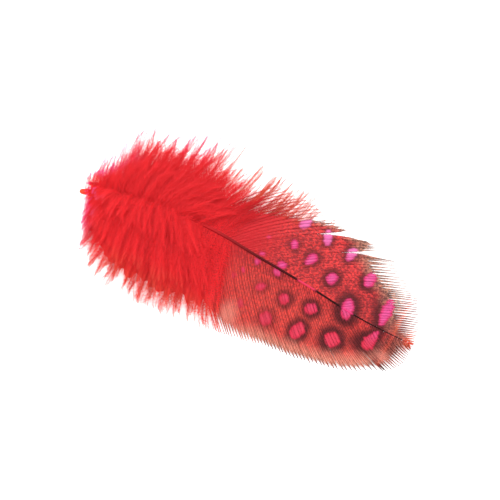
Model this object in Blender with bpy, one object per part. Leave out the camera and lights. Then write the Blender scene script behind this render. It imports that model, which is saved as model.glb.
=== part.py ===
"""A guinea fowl body feather, dyed red, lying with its arched face up.

The feather grew as one piece, so it is one closed solid: a quill and shaft, the webbed vanes of its
outer half with a toothed and split margin, and the locks of loose down of its lower half. X runs
from the quill end to the tip, +Y is the wider side of the vane, and Z = 0 is the surface it rests on.
"""

import math
import random

import bmesh
import bpy
import numpy as np
from mathutils import Matrix, Vector

# Driving dimensions, in millimetres. MM turns them into Blender's metres.
MM = 0.001
LENGTH = 70.0
SIDE_SHIFT = -3.26  # puts the middle of the feather's width on the X axis
SEED = 7

# The shaft's centreline: share of the length from the quill end, place across, height.
SHAFT_LINE = (
    (0.00, -0.15, 0.90),
    (0.12, 1.00, 3.60),
    (0.25, 1.55, 5.70),
    (0.40, 1.45, 6.40),
    (0.55, 0.65, 5.60),
    (0.70, 0.30, 4.00),
    (0.85, -0.30, 2.30),
    (1.00, 0.10, 0.75),
)
# Share of the length, radius: a blunt quill end, a round quill, then a long taper to the tip.
SHAFT_RADIUS = (
    (0.00, 0.40),
    (0.01, 0.57),
    (0.10, 0.60),
    (0.30, 0.46),
    (0.50, 0.31),
    (0.75, 0.20),
    (1.00, 0.07),
)
SHAFT_RINGS = 22
SHAFT_SIDES = 8

# Where the barbs of each vane end: share of the length at which the barb leaves the shaft, then
# the place of its tip along, across and above the surface.
FAR_TIPS = (
    (0.40, 7.5, 17.0, 1.80),
    (0.48, 14.2, 15.9, 1.80),
    (0.56, 20.4, 14.7, 1.70),
    (0.62, 25.0, 13.6, 1.60),
    (0.68, 29.0, 11.3, 1.50),
    (0.78, 32.3, 8.4, 1.20),
    (0.88, 34.1, 4.8, 0.90),
    (0.97, 34.9, 1.3, 0.70),
)
NEAR_TIPS = (
    (0.40, 4.6, -13.2, 0.16),
    (0.48, 10.0, -12.0, 0.15),
    (0.60, 18.6, -11.0, 0.15),
    (0.735, 27.1, -8.9, 0.15),
    (0.85, 32.2, -6.3, 0.16),
    (0.93, 34.0, -3.0, 0.25),
    (0.97, 34.8, -0.9, 0.45),
)
VANE_FROM, VANE_TO = 0.40, 0.97  # shares of the length between which webbed barbs grow
TEETH = 25  # pointed groups of free barb tips along each margin
FAR_TOOTH, NEAR_TOOTH = 0.17, 0.11  # depth of the notches between them, as a share of a barb
WEB_BENDS = (0.14, 0.28, 0.42, 0.56)  # shares of a barb where the web bends, below its free end
WEB_AT_SHAFT, WEB_AT_TIP = 0.9, 0.14  # half the web's thickness: share of the shaft's radius, and mm
BARB_BOW = 0.08  # how far a barb's control point lies back along the feather and out across it
VANE_ARCH = 1.25  # over 1, the web is arched upwards between the shaft and its margin

# Splits in the web: share of the length of the barb beside it, and depth as a share of that barb.
FAR_SPLITS = ((0.450, 0.20), (0.498, 0.17), (0.545, 0.24))
NEAR_SPLITS = ((0.735, 0.22),)

# The outline of the down on the surface: share of the way along, then the place.
FAR_DOWN = (
    (0.00, -34.3, 4.4),
    (0.14, -33.7, 10.6),
    (0.28, -30.2, 15.8),
    (0.42, -24.4, 20.9),
    (0.55, -18.6, 22.3),
    (0.70, -11.0, 21.4),
    (0.85, -3.6, 20.6),
    (1.00, 3.2, 18.6),
)
NEAR_DOWN = (
    (0.00, -33.0, -2.4),
    (0.16, -30.6, -8.4),
    (0.32, -27.0, -12.6),
    (0.48, -20.4, -14.6),
    (0.66, -11.8, -15.0),
    (0.84, -3.0, -15.0),
    (1.00, 5.4, -13.4),
)
DOWN_FROM, DOWN_TO = 0.045, 0.44  # shares of the length between which down grows

# Layers of locks: how many on each side, reach as a share of the outline's, height of the tips,
# half the width of a lock, how far it bows upwards as a share of its root's height, and how far
# past the shaft it starts.
LAYERS = (
    (13, 1.00, 0.30, 1.90, -0.54, 0.0),
    (10, 0.91, 3.00, 1.85, 0.25, 0.0),
    (7, 0.74, 5.60, 1.85, 0.42, 0.6),
    (5, 0.48, 7.90, 1.85, 0.36, 1.2),
)
# A lock's form: share of its length, and its width there as a share of its widest.
LOCK_FORM = ((0.0, 0.36), (0.2, 0.70), (0.45, 0.95), (0.68, 0.90), (0.86, 0.56), (1.0, 0.0))
LOCK_SIDES = 5
LOCK_FLATNESS = 0.60  # a lock's thickness as a share of its width
LOCK_SWEEP = 0.08  # how far back a lock sets out before it turns to its tip, as a share of its length
SHORT_LOCK = 13.0  # locks shorter than this are thinner in proportion
REACH_JITTER = 0.07  # how unequal the locks are, as a share of their reach
TIP_JITTER = 0.8  # how far a tip may stray along the feather
RISE_JITTER = 0.1  # how far a tip may lift, as a share of its drop from the shaft

SLAB_DEPTH = 10.0  # of the block below the surface that trims what hangs through it
SHARP_ANGLE = math.radians(50)


def smooth(stations, at):
    """The values at one place of a smooth curve through the stations, whose first column is the place."""
    rows = np.array(stations, float)
    places, values = rows[:, 0], rows[:, 1:]
    slopes = np.gradient(values, places, axis=0)
    i = int(np.clip(np.searchsorted(places, at, side="right") - 1, 0, len(places) - 2))
    step = places[i + 1] - places[i]
    t = (at - places[i]) / step
    start = values[i] * (2 * t**3 - 3 * t**2 + 1) + slopes[i] * step * (t**3 - 2 * t**2 + t)
    return start + values[i + 1] * (3 * t**2 - 2 * t**3) + slopes[i + 1] * step * (t**3 - t**2)


def shaft_point(share):
    """The shaft's centre at a share of the length from the quill end."""
    across, height = smooth(SHAFT_LINE, share)
    return Vector(((share - 0.5) * LENGTH, across + SIDE_SHIFT, height))


def shaft_radius(share):
    return float(smooth(SHAFT_RADIUS, share)[0])


def bent(start, middle, end, share):
    """A point on the curve that leaves start towards middle and arrives at end from middle."""
    return start * (1 - share) ** 2 + middle * 2 * share * (1 - share) + end * share**2


def add_ring(bm, centre, along, wide, high, sides):
    """The vertices of one ring square to the way along, or its centre alone where it has no width."""
    if wide == 0:
        return [bm.verts.new(centre * MM)]
    across = along.cross(Vector((0, 0, 1))).normalized()
    up = across.cross(along).normalized()
    turns = [2 * math.pi * k / sides for k in range(sides)]
    ring = [centre + across * wide * math.cos(turn) + up * high * math.sin(turn) for turn in turns]
    return [bm.verts.new(point * MM) for point in ring]


def add_tube(bm, centres, halves, sides):
    """A closed tube along the centres, with half its width and height given at each of them."""
    rings = []
    for i, (centre, (wide, high)) in enumerate(zip(centres, halves)):
        along = centres[min(i + 1, len(centres) - 1)] - centres[max(i - 1, 0)]
        rings.append(add_ring(bm, centre, along, wide, high, sides))
    for first, second in zip(rings, rings[1:]):
        for k in range(sides):
            corners = [first[k], first[(k + 1) % sides]]
            corners += second if len(second) == 1 else [second[(k + 1) % sides], second[k]]
            bm.faces.new(corners)
    bm.faces.new(rings[0])
    if len(rings[-1]) > 1:
        bm.faces.new(rings[-1])


def add_shaft(bm):
    """The quill and shaft, whose end is blunt and whose tip is a fine flat cut."""
    shares = [i / SHAFT_RINGS for i in range(SHAFT_RINGS + 1)]
    shares.insert(1, SHAFT_RADIUS[1][0])
    radii = [shaft_radius(share) for share in shares]
    add_tube(bm, [shaft_point(share) for share in shares], list(zip(radii, radii)), SHAFT_SIDES)


def split_depth(share, splits, spacing):
    """How much of the barb at this share of the length a split takes off its end."""
    return max((depth for at, depth in splits if abs(share - at) < spacing / 2), default=0.0)


def barb_line(share, tips, reach):
    """(point, half thickness) along one barb of the web, from beside the shaft to its reach."""
    root = shaft_point(share)
    along, across, height = smooth(tips, share)
    tip = Vector((along, across + SIDE_SHIFT, height))
    gap = tip - root
    middle = root + Vector((gap.x * (0.5 - BARB_BOW), gap.y * (0.5 + BARB_BOW), 0))
    at_shaft = WEB_AT_SHAFT * shaft_radius(share)
    line = []
    for w in WEB_BENDS + ((WEB_BENDS[-1] + reach) / 2, reach):
        point = bent(root, middle, tip, w)
        point.z = tip.z + (root.z - tip.z) * (1 - w**VANE_ARCH)
        line.append((point, WEB_AT_TIP + (at_shaft - WEB_AT_TIP) * (1 - w) ** 2))
    return line


def add_web(bm):
    """Both vanes as one thin plate that crosses the shaft, with two rows of faces for each tooth."""
    rows = 2 * TEETH
    spacing = (VANE_TO - VANE_FROM) / rows
    lines = []
    for i in range(rows + 1):
        share = VANE_FROM + spacing * i
        notched = i % 2
        far = 1 - FAR_TOOTH * notched - split_depth(share, FAR_SPLITS, spacing)
        near = 1 - NEAR_TOOTH * notched - split_depth(share, NEAR_SPLITS, spacing)
        centre = [(shaft_point(share), WEB_AT_SHAFT * shaft_radius(share))]
        line = barb_line(share, NEAR_TIPS, near)[::-1] + centre + barb_line(share, FAR_TIPS, far)
        top = [bm.verts.new((point + Vector((0, 0, half))) * MM) for point, half in line]
        under = [bm.verts.new((point - Vector((0, 0, half))) * MM) for point, half in line]
        lines.append((top, under))
    for (top, under), (next_top, next_under) in zip(lines, lines[1:]):
        for a, b in ((top, next_top), (under, next_under)):
            for j in range(len(a) - 1):
                bm.faces.new((a[j], b[j], b[j + 1]))
                bm.faces.new((a[j], b[j + 1], a[j + 1]))
        bm.faces.new((top[0], under[0], next_under[0], next_top[0]))
        bm.faces.new((top[-1], next_top[-1], next_under[-1], under[-1]))
    for top, under in (lines[0], lines[-1]):
        for j in range(len(top) - 1):
            bm.faces.new((top[j], top[j + 1], under[j + 1], under[j]))


def add_lock(bm, root, tip, half_width, bow):
    """One lock of down: a flattened tuft that leaves the shaft narrow, swells and ends in a point."""
    gap = tip - root
    half_width *= min(1.0, gap.length / SHORT_LOCK)
    middle = root + gap * 0.5 + Vector((-LOCK_SWEEP * gap.length, 0, bow * root.z))
    centres = [bent(root, middle, tip, share) for share, _ in LOCK_FORM]
    halves = [(half_width * form, half_width * form * LOCK_FLATNESS) for _, form in LOCK_FORM]
    add_tube(bm, centres, halves, LOCK_SIDES)


def lock_places():
    """Root, tip, half width and bow of every lock, layer by layer on both sides of the shaft."""
    rng = random.Random(SEED)
    for count, reach, height, half_width, bow, past in LAYERS:
        inset = 0.0 if reach == 1 else 0.5  # locks of the upper layers lie between those below
        for side, outline in ((1, FAR_DOWN), (-1, NEAR_DOWN)):
            for i in range(count):
                along = (i + inset) / (count - 1 + 2 * inset)
                root = shaft_point(DOWN_FROM + (DOWN_TO - DOWN_FROM) * along)
                root.y -= side * past
                x, y = smooth(outline, along)
                on_outline = Vector((x + TIP_JITTER * rng.uniform(-1, 1), y + SIDE_SHIFT, 0))
                tip = root + (on_outline - root) * reach * (1 - REACH_JITTER * rng.random())
                tip.z = height + (root.z - height) * RISE_JITTER * rng.random()
                yield root, tip, half_width, bow


def add_slab(bm):
    """A block whose top is the surface, wider than the feather."""
    bmesh.ops.create_cube(bm, size=1)
    bmesh.ops.scale(bm, verts=bm.verts, vec=(2 * LENGTH * MM, 2 * LENGTH * MM, SLAB_DEPTH * MM))
    bmesh.ops.translate(bm, verts=bm.verts, vec=(0, 0, -SLAB_DEPTH / 2 * MM))


def mesh_object(name, builder, collection):
    """A new object whose mesh is what the builder adds, with its faces turned outwards."""
    bm = bmesh.new()
    builder(bm)
    bmesh.ops.recalc_face_normals(bm, faces=bm.faces)
    mesh = bpy.data.meshes.new(name)
    bm.to_mesh(mesh)
    bm.free()
    obj = bpy.data.objects.new(name, mesh)
    collection.objects.link(obj)
    return obj


def helper(name, builder, collection):
    """A mesh object that only serves a Boolean, so it isn't rendered."""
    obj = mesh_object(name, builder, collection)
    obj.hide_render = True
    obj.display_type = "WIRE"
    return obj


def add_boolean(obj, name, operation, operand):
    modifier = obj.modifiers.new(name, "BOOLEAN")
    modifier.operation = operation
    modifier.solver = "EXACT"
    if isinstance(operand, bpy.types.Collection):
        modifier.operand_type = "COLLECTION"
        modifier.collection = operand
    else:
        modifier.object = operand


def apply_modifiers(obj):
    """The object's mesh with its modifiers carried out, which it then keeps as its own."""
    graph = bpy.context.evaluated_depsgraph_get()
    mesh = bpy.data.meshes.new_from_object(obj.evaluated_get(graph))
    obj.modifiers.clear()
    obj.data = mesh
    return mesh


def volume_of(faces):
    """Six times the signed volume inside a shell of triangles."""
    corners = ([vertex.co for vertex in face.verts] for face in faces)
    return sum(a.dot(b.cross(c)) for a, b, c in corners)


def shells(bm):
    """The faces of each separate shell of the mesh."""
    left = set(bm.faces)
    while left:
        shell, border = set(), [left.pop()]
        while border:
            face = border.pop()
            shell.add(face)
            edges = [edge for edge in face.edges if len(edge.link_faces) == 2]
            beside = {other for edge in edges for other in edge.link_faces} & left
            left -= beside
            border.extend(beside)
        yield shell


def keep_outer_shell(mesh):
    """Removes the shells of sealed air pockets and of bits that the trimming left loose."""
    bm = bmesh.new()
    bm.from_mesh(mesh)
    bmesh.ops.triangulate(bm, faces=bm.faces)
    by_size = sorted(shells(bm), key=volume_of)
    spare = [face for shell in by_size[:-1] for face in shell]
    bmesh.ops.delete(bm, geom=spare, context="FACES")
    bm.to_mesh(mesh)
    bm.free()


def settle(mesh):
    """Moves the mesh its last fraction of a millimetre, so that its box stands centred on the origin."""
    places = np.array([vertex.co for vertex in mesh.vertices])
    low, high = places.min(axis=0), places.max(axis=0)
    moved = Vector((-(low[0] + high[0]) / 2, -(low[1] + high[1]) / 2, -low[2]))
    mesh.transform(Matrix.Translation(moved))
    print("box", np.round((high - low) / MM, 2), "mm, moved by", np.round(np.array(moved) / MM, 3), "mm")


def dyed_keratin():
    """The material of the whole feather: dyed keratin, dull and soft."""
    material = bpy.data.materials.new("dyed_keratin")
    material.use_nodes = True
    surface = material.node_tree.nodes["Principled BSDF"]
    surface.inputs["Base Color"].default_value = (0.61, 0.022, 0.028, 1)
    surface.inputs["Roughness"].default_value = 0.6
    surface.inputs["Metallic"].default_value = 0.0
    return material


def main():
    for obj in list(bpy.data.objects):
        bpy.data.objects.remove(obj, do_unlink=True)
    scene = bpy.context.scene.collection
    growth = bpy.data.collections.new("growth")
    growth.hide_render = True
    scene.children.link(growth)

    feather = mesh_object("feather", add_shaft, scene)
    helper("web", add_web, growth)
    for number, place in enumerate(lock_places()):
        helper(f"lock_{number:02d}", lambda bm, place=place: add_lock(bm, *place), growth)
    add_boolean(feather, "grow", "UNION", growth)
    add_boolean(feather, "trim", "DIFFERENCE", helper("surface", add_slab, scene))

    mesh = apply_modifiers(feather)
    keep_outer_shell(mesh)
    settle(mesh)
    mesh.materials.clear()
    mesh.materials.append(dyed_keratin())
    mesh.shade_smooth()
    mesh.set_sharp_from_angle(angle=SHARP_ANGLE)


main()
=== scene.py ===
# %% [markdown]
# # A dyed guinea fowl feather
# A body feather of a guinea fowl, 70 mm long and dyed scarlet, lies on a white table with its arched
# face up. Its lower half is loose down and its outer half is a web of barbs with round spots in dark
# rings. This lesson grows it the way a bird does: one shaft, barbs that leave the shaft, and barbules
# that leave every barb. Only the rules for length, angle and pigment change from the quill to the tip.

import bpy
import numpy as np
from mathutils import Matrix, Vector


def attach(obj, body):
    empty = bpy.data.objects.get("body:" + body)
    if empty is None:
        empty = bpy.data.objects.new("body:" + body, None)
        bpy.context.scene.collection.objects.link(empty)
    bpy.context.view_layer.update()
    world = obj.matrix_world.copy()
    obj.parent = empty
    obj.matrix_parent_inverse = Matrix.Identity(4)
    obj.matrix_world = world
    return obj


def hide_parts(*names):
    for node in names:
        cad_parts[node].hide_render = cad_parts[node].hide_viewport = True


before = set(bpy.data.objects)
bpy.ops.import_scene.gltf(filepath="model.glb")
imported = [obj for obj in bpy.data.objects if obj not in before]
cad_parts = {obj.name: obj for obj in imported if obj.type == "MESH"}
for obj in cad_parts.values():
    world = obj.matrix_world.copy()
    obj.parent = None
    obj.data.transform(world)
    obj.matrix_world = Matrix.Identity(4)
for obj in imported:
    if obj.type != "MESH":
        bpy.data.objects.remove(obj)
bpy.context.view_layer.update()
MM = 0.001

# %% [markdown]
# ## The plan of the feather
# Everything hangs on a few curves: the shaft's centreline, the two margins where the barbs of the web
# end, and the two outlines where the down ends. Each is a short list of stations with a smooth curve
# through them. A station starts with a share, from 0 to 1, and the other numbers are millimetres. The
# lists could be Bezier objects, but plain numbers are easier to read and to evaluate hundreds of times.

# %% Stations, in millimetres
LENGTH = 70.0
SIDE_SHIFT = -3.26  # puts the middle of the feather's width on the X axis
END_SHIFT = 0.06  # and the middle of its length on the Y axis
# The share of the length, then how far across and how high the shaft is there.
SHAFT_LINE = (
    (0.00, -0.15, 0.90),
    (0.12, 1.00, 3.60),
    (0.25, 1.55, 5.70),
    (0.40, 1.45, 6.40),
    (0.55, 0.65, 5.60),
    (0.70, 0.30, 4.00),
    (0.85, -0.30, 2.30),
    (1.00, 0.10, 0.75),
)
# The share of the length where a barb leaves the shaft, then its tip's place: along, across and up.
FAR_TIPS = (
    (0.36, -2.0, 17.8, 2.20),
    (0.40, 3.2, 17.6, 2.00),
    (0.44, 8.8, 17.2, 1.80),
    (0.48, 15.0, 15.8, 1.80),
    (0.56, 21.6, 14.6, 1.70),
    (0.62, 26.4, 13.2, 1.60),
    (0.68, 29.6, 10.7, 1.50),
    (0.78, 32.7, 7.6, 1.20),
    (0.88, 34.3, 3.9, 0.90),
    (0.97, 34.9, 1.0, 0.70),
)
NEAR_TIPS = (
    (0.36, 2.2, -13.8, 0.16),
    (0.40, 4.8, -13.5, 0.16),
    (0.48, 10.2, -12.5, 0.15),
    (0.60, 18.9, -11.6, 0.15),
    (0.70, 26.0, -9.9, 0.15),
    (0.78, 31.2, -7.3, 0.16),
    (0.83, 33.4, -5.9, 0.20),
    (0.88, 34.6, -4.2, 0.25),
    (0.93, 35.0, -2.5, 0.35),
    (0.97, 35.0, -1.2, 0.45),
)
# The share of the way from the quill to the web, then along and across.
FAR_DOWN = (
    (0.00, -33.2, 3.6),
    (0.14, -31.4, 9.0),
    (0.28, -28.8, 15.4),
    (0.42, -23.8, 20.0),
    (0.55, -18.2, 21.6),
    (0.70, -11.8, 20.4),
    (0.80, -7.4, 16.8),
    (0.90, -3.6, 13.0),
    (1.00, 1.0, 10.6),
)
NEAR_DOWN = (
    (0.00, -32.2, -2.4),
    (0.16, -30.4, -7.8),
    (0.32, -26.6, -11.8),
    (0.48, -20.4, -15.4),
    (0.66, -12.2, -16.2),
    (0.84, -4.4, -15.6),
    (1.00, 2.2, -13.8),
)


def smooth(stations, at):
    """One row of values for each place in at, on a smooth curve through the stations."""
    rows = np.array(stations, float)
    at = np.atleast_1d(np.asarray(at, float))
    places, values = rows[:, 0], rows[:, 1:]
    slopes = np.gradient(values, places, axis=0)
    i = np.clip(np.searchsorted(places, at, side="right") - 1, 0, len(places) - 2)
    step = (places[i + 1] - places[i])[:, None]
    t = (at - places[i])[:, None] / step
    start = values[i] * (2 * t**3 - 3 * t**2 + 1) + slopes[i] * step * (t**3 - 2 * t**2 + t)
    return start + values[i + 1] * (3 * t**2 - 2 * t**3) + slopes[i + 1] * step * (t**3 - t**2)


def shaft_points(shares):
    """Centres of the shaft at shares of the length from the quill end, in mm."""
    shares = np.atleast_1d(shares)
    across, height = smooth(SHAFT_LINE, shares).T
    return np.stack([(shares - 0.5) * LENGTH + END_SHIFT, across + SIDE_SHIFT, height], axis=1)


print("quill end and tip:", shaft_points([0, 1]).round(2).tolist(), "mm")

# %% [markdown]
# ## The camera
# The feather is seen from above, 60 degrees over the table and turned 28 degrees, with a 100 mm lens.
# A long lens keeps the near and the far vane in proportion, as in a catalogue. The camera's distance
# follows from how many millimetres of the feather one pixel of the picture shows.

# %% Camera
PICTURE_PIXELS = 500
MM_PER_PIXEL = 0.185
LENS, SENSOR = 100.0, 36.0
AZIMUTH, ELEVATION = np.radians(28.1), np.radians(60.0)
TARGET = Vector((0.44, -0.66, 3.0)) * MM

towards_camera = Vector(
    (np.sin(AZIMUTH) * np.cos(ELEVATION), -np.cos(AZIMUTH) * np.cos(ELEVATION), np.sin(ELEVATION))
)
distance = MM_PER_PIXEL * MM * PICTURE_PIXELS / SENSOR * LENS
camera_data = bpy.data.cameras.new("camera")
camera_data.lens = LENS
camera_data.sensor_width = SENSOR
camera_data.clip_start = distance / 100
camera = bpy.data.objects.new("camera", camera_data)
camera.location = TARGET + towards_camera * distance
camera.rotation_euler = towards_camera.to_track_quat("Z", "Y").to_euler()
bpy.context.scene.collection.objects.link(camera)
bpy.context.scene.camera = camera
print("camera", round(distance / MM), "mm from the feather")

# %% [markdown]
# ## Colours, nodes and materials
# Dye colours are easiest to compare as the sRGB hex values that a paint program shows, while a shader
# wants linear light, so one function converts them. A second function adds any node, shader or
# geometry, with its settings and its links in one call, so that every tree below reads like a recipe.

# %% Helpers for colours, nodes and materials


def linear(hex_colour):
    """A linear RGBA colour from an sRGB hex value such as '#D72630'."""
    srgb = np.array([int(hex_colour[i : i + 2], 16) for i in (1, 3, 5)]) / 255
    light = np.where(srgb <= 0.04045, srgb / 12.92, ((srgb + 0.055) / 1.055) ** 2.4)
    return (*light.tolist(), 1.0)


def add_node(tree, kind, inputs=(), output=None, **settings):
    """Adds a node with its settings and links, and returns its first output that is in use.

    Each input is a value to set, or another node's socket to link from. They go by name or number in a
    dictionary, or in order in a list. Another output can be asked for by its name.
    """
    node = tree.nodes.new(kind)
    for name, value in settings.items():
        setattr(node, name, value)
    for key, value in inputs.items() if isinstance(inputs, dict) else enumerate(inputs):
        if isinstance(value, bpy.types.NodeSocket):
            tree.links.new(value, node.inputs[key])
        else:
            node.inputs[key].default_value = value
    if output:
        return node.outputs[output]
    return next((socket for socket in node.outputs if socket.enabled), None)


def new_material(name, finish):
    """A material with this finish, and the inputs of its surface."""
    material = bpy.data.materials.new(name)
    material.use_nodes = True
    surface = material.node_tree.nodes["Principled BSDF"].inputs
    for key, value in finish.items():
        surface[key].default_value = value
    return material, surface


print("scarlet in linear light:", [round(c, 3) for c in linear("#D72630")[:3]])

# %% [markdown]
# ## The table and the light
# The feather lies on a light table: a sheet of opal acrylic, white and matt, that is lit from above by
# the room and a softbox, and glows a little by itself. The glow fills the shadow under the feather, and
# makes its thin edges look light, as they do in daylight.

# %% Table, softbox and room
TABLE_SIZE = 1.2  # metres, as are the softbox's size and place
TABLE_GLOW = 0.45
ROOM_LIGHT = 1.58
BOX_SIZE, BOX_PLACE, BOX_WATTS = 0.5, (-0.25, 0.3, 0.6), 2.5

opal, _ = new_material(
    "opal_acrylic",
    {
        "Base Color": linear("#F6F6F6"),
        "Roughness": 0.9,
        "Specular IOR Level": 0.0,
        "Emission Color": (1, 1, 1, 1),
        "Emission Strength": TABLE_GLOW,
    },
)
table_mesh = bpy.data.meshes.new("table")
corners = [(x * TABLE_SIZE / 2, y * TABLE_SIZE / 2, 0) for x, y in ((-1, -1), (1, -1), (1, 1), (-1, 1))]
table_mesh.from_pydata(corners, [], [(0, 1, 2, 3)])
table_mesh.materials.append(opal)
table = bpy.data.objects.new("table", table_mesh)
bpy.context.scene.collection.objects.link(table)

room = bpy.data.worlds.new("white_room")
room.use_nodes = True
room_light = room.node_tree.nodes["Background"].inputs
room_light["Color"].default_value = (1, 1, 1, 1)
room_light["Strength"].default_value = ROOM_LIGHT
bpy.context.scene.world = room

softbox_data = bpy.data.lights.new("softbox", "AREA")
softbox_data.shape = "SQUARE"
softbox_data.size = BOX_SIZE
softbox_data.energy = BOX_WATTS
softbox = bpy.data.objects.new("softbox", softbox_data)
softbox.location = BOX_PLACE
softbox.rotation_euler = softbox.location.to_track_quat("Z", "Y").to_euler()
bpy.context.scene.collection.objects.link(softbox)
bpy.context.scene.view_settings.view_transform = "Standard"
print("light: room", ROOM_LIGHT, "and a softbox of", BOX_WATTS, "W")

# %% [markdown]
# ## Guinea fowl pigment
# The dye is the same everywhere, and the bird's own melanin lies under it. Where the feather was white,
# in the round spots, the dye shows as clear pink. Round each spot lies a ring full of melanin, now
# maroon, and a bar of it crosses the tip. On the real feather each barb lays down its own row of the
# pattern, so here each barb takes its pigment from places half way to its own middle, and the edges of
# the spots step from barb to barb. The pattern is kept in mesh attributes, and the material turns them
# into colour.

# %% The spots and rings
# Along, across, half length, half width and ring width in mm, its turn in degrees, how much wider its
# far end is than its near end, and how clear it is.
SPOTS = (
    (28.1, -0.1, 0.95, 2.85, 2.4, 3, 0.15, 1.0),
    (28.0, -6.0, 0.95, 2.15, 2.1, -11, -0.55, 1.0),
    (22.7, 4.3, 1.00, 1.75, 1.4, 0, 0.0, 1.0),
    (21.7, -3.2, 1.10, 2.00, 2.1, 10, 0.0, 1.0),
    (21.8, -9.5, 1.40, 1.30, 1.9, 35, 0.0, 1.0),
    (16.6, 0.7, 0.95, 1.30, 1.3, 0, 0.0, 1.0),
    (17.4, 7.3, 0.70, 1.70, 1.2, 0, 0.2, 0.95),
    (16.0, -6.4, 1.05, 1.00, 1.3, 0, 0.0, 1.0),
    (15.6, -10.9, 1.10, 1.50, 1.4, -15, 0.0, 1.0),
    (12.0, 8.4, 0.75, 1.90, 1.0, 19, 0.0, 0.95),
    (11.6, 2.1, 0.75, 1.50, 1.2, -10, 0.25, 1.0),
    (11.0, -7.1, 0.90, 0.90, 1.2, 0, 0.0, 1.0),
    (9.4, -11.6, 1.10, 1.15, 1.2, -30, 0.0, 0.85),
    (7.0, 9.1, 0.80, 1.75, 0.9, 0, 0.0, 0.85),
    (7.5, 3.5, 0.65, 1.10, 1.1, 20, 0.0, 1.0),
    (7.6, -1.7, 0.75, 0.65, 0.9, 0, 0.0, 1.0),
    (7.5, -3.5, 0.80, 0.50, 0.9, 0, 0.0, 1.0),
    (6.1, -7.2, 1.00, 0.55, 0.9, 38, 0.0, 1.0),
    (4.1, -11.3, 0.55, 0.75, 0.7, 0, 0.0, 0.7),
    (3.5, -1.6, 0.50, 0.40, 0.6, 0, 0.0, 0.8),
    (3.4, -3.5, 0.50, 0.50, 0.6, 0, 0.0, 0.95),
    (2.8, 2.3, 0.40, 0.50, 0.5, 0, 0.0, 0.5),
    (1.8, -6.0, 0.50, 0.40, 0.6, -40, 0.0, 0.9),
    (0.7, -7.6, 0.40, 0.45, 0.5, 0, 0.0, 0.7),
)
SPOT_EDGE = (0.14, -0.04)  # mm past a spot's outline, where its pink has gone and where it is full
SPOT_MIDDLE = (0.0, -0.55)  # and where the colour of its middle begins and is full
RING_EDGE = np.array([1.2, 0.22])  # ring widths past it, where the ring has gone and where it is full
RING_DEPTH = 0.96
RINGS_FROM = -5.0  # mm along, where the first rings begin to darken
TIP_BAR = (29.6, 30.6)  # mm along, where the dark bar of the tip begins and is full
BAR_DEPTH = 0.85
TIP_STRIPE = (31.0, 0.42)  # mm along and half as wide, a clear stripe in the bar
BARB_WOBBLE = 0.24  # mm by which the pattern's edges differ from barb to barb
SCRAMBLE = 7.31  # turns a barb's number from 0 to 1 into another that seems random


def ramp(low, high, values):
    """0 below low, 1 above high and a smooth step between. It falls instead if low is over high."""
    t = np.clip((values - low) / (high - low), 0, 1)
    return t * t * (3 - 2 * t)


def pigment(places, strand, boldest):
    """How much each place, in mm, belongs to a spot, to a spot's middle, to a ring and to the tip's bar.

    The rings darken along the feather, and are darkest from boldest, in mm, on.
    """
    spot, middle, ring = np.zeros((3, len(places)))
    wobble = (strand * SCRAMBLE % 1 - 0.5) * BARB_WOBBLE
    for along, across, half_long, half_wide, ring_width, turned, wider, clear in SPOTS:
        dx, dy = places[:, 0] - along, places[:, 1] - across
        c, s = np.cos(np.radians(turned)), np.sin(np.radians(turned))
        v = (c * dy - s * dx) / half_wide
        u = (c * dx + s * dy) / half_long / (1 + wider * np.clip(v, -1.2, 1.2))
        reach = np.hypot(u, v)
        edge = (reach - 1) * reach / (np.hypot(u / half_long, v / half_wide) + 1e-6) + wobble
        spot = np.maximum(spot, clear * ramp(*SPOT_EDGE, edge))
        middle = np.maximum(middle, ramp(*SPOT_MIDDLE, edge))
        ring = np.maximum(ring, clear**2 * ramp(*RING_EDGE * ring_width, edge))
    stripe = np.exp(-(((places[:, 0] - TIP_STRIPE[0] + 2 * wobble) / TIP_STRIPE[1]) ** 2))
    bar = BAR_DEPTH * ramp(*TIP_BAR, places[:, 0]) * (1 - stripe)
    return spot, middle, RING_DEPTH * ring * ramp(RINGS_FROM, boldest, places[:, 0]), bar


print(len(SPOTS), "spots, from", min(s[2] for s in SPOTS) * 2, "to", max(s[3] for s in SPOTS) * 2, "mm")

# %% [markdown]
# ## Colour in layers
# A dyed feather gets its colour in layers: dye over pigment over bare keratin. In nodes that is a chain
# of Mix nodes, and each is led by one amount. Written as a table, a chain of twenty is easy to read and
# to change: a layer has a name, its amount, and its colour where the amount is 0 and where it is 1.

# %% The layers of the web
# In the fleck and red layers the near colours are painted lighter than the far ones: painted light, for
# the softbox light that the near vane gets less of. In the other layers far gives the far vane its own
# hues.
WEB_LAYERS = (
    ("dark fleck", "far", "#BC4844", "#983236"),
    ("light fleck", "far", "#EA5048", "#E04242"),
    ("mottled", "flecks", "dark fleck", "light fleck"),
    ("red", "far", "#E43E40", "#CA2A30"),
    ("deep red", "far", "#CC3034", "#B42228"),
    ("plain", "noise", "red", "deep red"),
    ("webbed", "melanin", "plain", "mottled"),
    ("darkest", "bar", "#5A2428", "#684840"),
    ("ringed", "ring", "webbed", "darkest"),
    ("grey", "flecks", "#6E5850", "#C08A74"),
    ("bare", "far", "#DC9A84", "grey"),
    ("bleached", "faded", "bare", "#CEC2BC"),
    ("free end", "tip", "bleached", "#D8684C"),
    ("fringed", "fringe", "ringed", "free end"),
    ("worn", "washed", "fringed", "#E08C7C"),
    ("rim", "far", "#CC2E46", "#CE3266"),
    ("heart", "far", "#D03C54", "#D04E88"),
    ("clear", "middle", "rim", "heart"),
    ("clear pink", "lilac", "clear", "#E080C0"),
    ("spotted", "spot", "worn", "clear pink"),
)


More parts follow.
